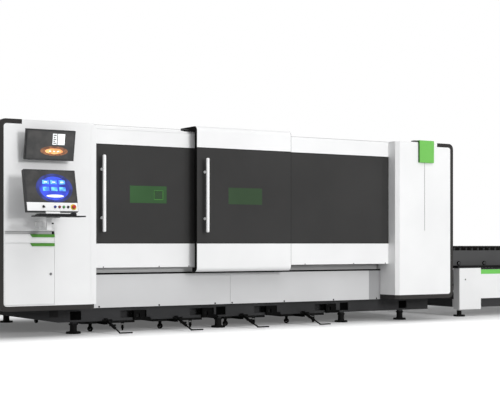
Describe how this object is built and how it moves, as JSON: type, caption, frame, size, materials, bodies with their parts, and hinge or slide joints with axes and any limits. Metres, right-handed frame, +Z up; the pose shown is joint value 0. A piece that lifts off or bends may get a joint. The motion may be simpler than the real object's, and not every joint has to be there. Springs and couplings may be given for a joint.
{
  "type": "fiber laser cutting machine",
  "caption": "Enclosed sheet laser cutting machine with sliding doors, operator console, gantry head, pallet exchange table and scrap carts.",
  "frame": {"origin": "centre of the machine's footprint, on the floor", "axes": "+X along the machine, towards the exchange table; +Y from the operator's side to the back; +Z up"},
  "size_m": [9.416, 3.14, 2.16],
  "materials": {
    "white_paint": "satin powder coat",
    "dark_trim": "satin powder coat",
    "bed_paint": "matt paint",
    "grey_paint": "satin paint",
    "pallet_steel": "matt painted steel",
    "tinted_acrylic": "dark tinted, satin",
    "green_acrylic": "laser-safe green",
    "green_paint": "satin powder coat",
    "pull_green": "satin powder coat",
    "black_plastic": "fine grained",
    "screen_glass": "glossy display",
    "black_steel": "matt black paint",
    "machined_steel": "machined",
    "blue_plastic": "moulded",
    "red_plastic": "moulded",
    "green_plastic": "moulded"
  },
  "bodies": {
    "machine": {"bed_frame": "bed_paint", "left_cabinet": "white_paint", "left_cabinet_trim": "dark_trim", "right_cabinet": "white_paint", "right_cabinet_trim": "dark_trim", "green_cap": "green_paint", "laser_source": "grey_paint", "roof": "white_paint", "back_wall": "white_paint", "right_end_wall": "white_paint", "right_panel": "white_paint", "right_window": "tinted_acrylic", "left_skirt": "white_paint", "right_skirt": "white_paint", "door_rail_lower": "grey_paint", "monitor_bracket": "black_steel", "console_bracket": "white_paint", "table_frame": "grey_paint", "table_front_panel": "white_paint", "table_rear_panel": "white_paint", "table_stripe": "green_paint"},
    "left_door": {"left_door": "white_paint", "left_door_window": "tinted_acrylic", "left_view_window": "green_acrylic", "left_door_handle": "white_paint"},
    "middle_door": {"middle_door": "white_paint", "middle_door_window": "tinted_acrylic", "middle_view_window": "green_acrylic", "middle_door_handle": "white_paint"},
    "drawer": {"drawer": "white_paint", "drawer_pull": "pull_green"},
    "cupboard_door": {"cupboard_door": "white_paint", "cupboard_pull": "pull_green"},
    "monitor": {"monitor_housing": "black_plastic", "monitor_screen": "screen_glass"},
    "console_arm": {"console_arm": "white_paint"},
    "console": {"console_housing": "black_plastic", "console_screen": "screen_glass", "control_panel": "white_paint", "keyboard_tray": "black_plastic", "keyboard": "black_plastic"},
    "gantry": {"gantry_beam": "machined_steel"},
    "carriage": {"head_carriage": "black_steel"},
    "head": {"cutting_head": "white_paint"},
    "upper_pallet": {"upper_pallet": "pallet_steel"},
    "lower_pallet": {"lower_pallet": "pallet_steel"},
    "button_blue": {"button_blue": "blue_plastic"},
    "button_red": {"button_red": "red_plastic"},
    "button_green": {"button_green": "green_plastic"},
    "button_black": {"button_black": "black_plastic"},
    "emergency_stop": {"emergency_stop": "red_plastic"},
    "selector_switch": {"selector_switch": "black_plastic"},
    "scrap_cart_1": {"scrap_cart_1": "black_steel"},
    "pull_rod_1": {"pull_rod_1": "black_steel"},
    "scrap_cart_2": {"scrap_cart_2": "black_steel"},
    "pull_rod_2": {"pull_rod_2": "black_steel"},
    "scrap_cart_3": {"scrap_cart_3": "black_steel"},
    "pull_rod_3": {"pull_rod_3": "black_steel"},
    "scrap_cart_4": {"scrap_cart_4": "black_steel"},
    "pull_rod_4": {"pull_rod_4": "black_steel"}
  },
  "joints": [
    {"name": "left_door_slide", "type": "slide", "parent": "machine", "child": "left_door", "axis": [1, 0, 0], "range_m": [0, 1.15]},
    {"name": "middle_door_slide", "type": "slide", "parent": "machine", "child": "middle_door", "axis": [1, 0, 0], "range_m": [0, 1.38]},
    {"name": "drawer_slide", "type": "slide", "parent": "machine", "child": "drawer", "axis": [0, -1, 0], "range_m": [0, 0.35]},
    {"name": "cupboard_hinge", "type": "hinge", "parent": "machine", "child": "cupboard_door", "pos_m": [-4.6507, -1.03, 0.6], "axis": [0, 0, -1], "range_deg": [0, 100]},
    {"name": "monitor_tilt", "type": "hinge", "parent": "machine", "child": "monitor", "pos_m": [-4.245, -1.08, 1.878], "axis": [1, 0, 0], "range_deg": [-8, 8]},
    {"name": "console_swivel", "type": "hinge", "parent": "machine", "child": "console_arm", "pos_m": [-4.3055, -1.105, 1.1], "axis": [0, 0, 1], "range_deg": [-20, 20]},
    {"name": "console_tilt", "type": "hinge", "parent": "console_arm", "child": "console", "pos_m": [-4.3055, -1.273, 1.32], "axis": [1, 0, 0], "range_deg": [-8, 8]},
    {"name": "button_blue_press", "type": "slide", "parent": "console", "child": "button_blue", "axis": [0, 0.9703, -0.2419], "range_m": [0, 0.004], "stiffness_N_per_m": 600},
    {"name": "button_red_press", "type": "slide", "parent": "console", "child": "button_red", "axis": [0, 0.9703, -0.2419], "range_m": [0, 0.004], "stiffness_N_per_m": 600},
    {"name": "button_green_press", "type": "slide", "parent": "console", "child": "button_green", "axis": [0, 0.9703, -0.2419], "range_m": [0, 0.004], "stiffness_N_per_m": 600},
    {"name": "button_black_press", "type": "slide", "parent": "console", "child": "button_black", "axis": [0, 0.9703, -0.2419], "range_m": [0, 0.004], "stiffness_N_per_m": 600},
    {"name": "emergency_stop_press", "type": "slide", "parent": "console", "child": "emergency_stop", "axis": [0, 0.9703, -0.2419], "range_m": [0, 0.004], "stiffness_N_per_m": 1500},
    {"name": "selector_turn", "type": "hinge", "parent": "console", "child": "selector_switch", "pos_m": [-4.3975, -1.37605, 1.26333], "axis": [0, 0.9703, -0.2419], "range_deg": [0, 80]},
    {"name": "gantry_travel", "type": "slide", "parent": "machine", "child": "gantry", "axis": [1, 0, 0], "range_m": [0, 3.3]},
    {"name": "carriage_travel", "type": "slide", "parent": "gantry", "child": "carriage", "axis": [0, 1, 0], "range_m": [-0.55, 0.55]},
    {"name": "head_lift", "type": "slide", "parent": "carriage", "child": "head", "axis": [0, 0, 1], "range_m": [-0.06, 0.12]},
    {"name": "upper_pallet_travel", "type": "slide", "parent": "machine", "child": "upper_pallet", "axis": [1, 0, 0], "range_m": [-4.5, 0]},
    {"name": "lower_pallet_travel", "type": "slide", "parent": "machine", "child": "lower_pallet", "axis": [1, 0, 0], "range_m": [0, 4.5]},
    {"name": "scrap_cart_1_roll", "type": "slide", "parent": "machine", "child": "scrap_cart_1", "axis": [0, -1, 0], "range_m": [0, 1.5]},
    {"name": "pull_rod_1_hinge", "type": "hinge", "parent": "scrap_cart_1", "child": "pull_rod_1", "pos_m": [-3.458, -0.71, 0.137], "axis": [-1, 0, 0], "range_deg": [0, 20]},
    {"name": "scrap_cart_2_roll", "type": "slide", "parent": "machine", "child": "scrap_cart_2", "axis": [0, -1, 0], "range_m": [0, 1.5]},
    {"name": "pull_rod_2_hinge", "type": "hinge", "parent": "scrap_cart_2", "child": "pull_rod_2", "pos_m": [-2.643, -0.71, 0.137], "axis": [-1, 0, 0], "range_deg": [0, 20]},
    {"name": "scrap_cart_3_roll", "type": "slide", "parent": "machine", "child": "scrap_cart_3", "axis": [0, -1, 0], "range_m": [0, 1.5]},
    {"name": "pull_rod_3_hinge", "type": "hinge", "parent": "scrap_cart_3", "child": "pull_rod_3", "pos_m": [-1.828, -0.71, 0.137], "axis": [-1, 0, 0], "range_deg": [0, 20]},
    {"name": "scrap_cart_4_roll", "type": "slide", "parent": "machine", "child": "scrap_cart_4", "axis": [0, -1, 0], "range_m": [0, 1.5]},
    {"name": "pull_rod_4_hinge", "type": "hinge", "parent": "scrap_cart_4", "child": "pull_rod_4", "pos_m": [-1.013, -0.71, 0.137], "axis": [-1, 0, 0], "range_deg": [0, 20]}
  ],
  "couplings": [
    {"joint": "lower_pallet_travel", "follows": "upper_pallet_travel", "ratio": -1}
  ]
}
